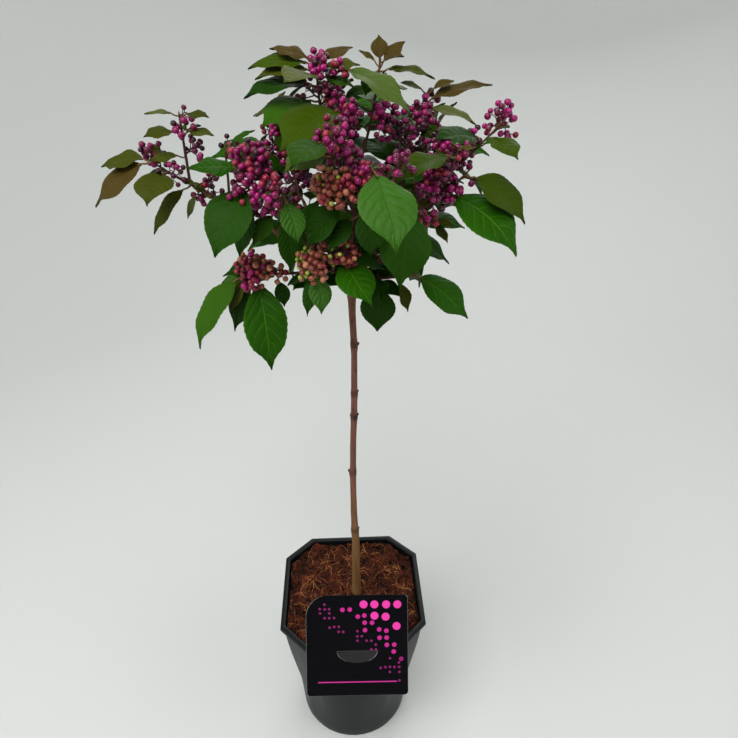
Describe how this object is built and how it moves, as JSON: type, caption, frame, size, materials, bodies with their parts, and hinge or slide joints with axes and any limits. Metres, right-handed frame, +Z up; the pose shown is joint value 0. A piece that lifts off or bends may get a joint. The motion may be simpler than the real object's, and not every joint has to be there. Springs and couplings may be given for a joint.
{
  "type": "potted standard beautyberry",
  "caption": "Small standard beautyberry in a black nursery pot: one clear stem, an open crown of drooping leaves and clustered magenta berries, and a blank label card hooked on the rim.",
  "frame": {"origin": "middle of the flat underside of the pot", "axes": "+Z up along the stem, -Y towards the side that carries the label card, +X to the right of it"},
  "size_m": [0.2785, 0.2448, 0.6663],
  "materials": {
    "pot_plastic": "soft black sheen",
    "coir_soil": "loose reddish-brown coir fibre",
    "card_print": "glossy near-black print with magenta dots",
    "trunk_bark": "smooth olive-brown to mauve-brown bark with buds",
    "bough_bark": "young dark brown bark",
    "foliage": "satin green leaves with magenta berries"
  },
  "bodies": {
    "root": {"pot": "pot_plastic", "soil": "coir_soil", "label_card": "card_print", "trunk": "trunk_bark", "bough_left": "bough_bark", "bough_front_left": "bough_bark", "bough_top_left": "bough_bark", "bough_top": "bough_bark", "bough_top_right": "bough_bark", "bough_right": "bough_bark", "bough_right_low": "bough_bark", "bough_front": "bough_bark", "bough_front_right": "bough_bark", "bough_low_right": "bough_bark", "bough_low_front": "bough_bark", "bough_low_left": "bough_bark", "bough_back_left": "bough_bark", "bough_back": "bough_bark", "bough_back_right": "bough_bark", "bough_back_low": "bough_bark", "bough_back_left_low": "bough_bark", "bough_back_right_low": "bough_bark", "foliage_left": "foliage", "foliage_front_left": "foliage", "foliage_top_left": "foliage", "foliage_top": "foliage", "foliage_top_right": "foliage", "foliage_right": "foliage", "foliage_right_low": "foliage", "foliage_front": "foliage", "foliage_front_right": "foliage", "foliage_low_right": "foliage", "foliage_low_front": "foliage", "foliage_low_left": "foliage", "foliage_back_left": "foliage", "foliage_back": "foliage", "foliage_back_right": "foliage", "foliage_back_low": "foliage", "foliage_back_left_low": "foliage", "foliage_back_right_low": "foliage"}
  },
  "joints": []
}
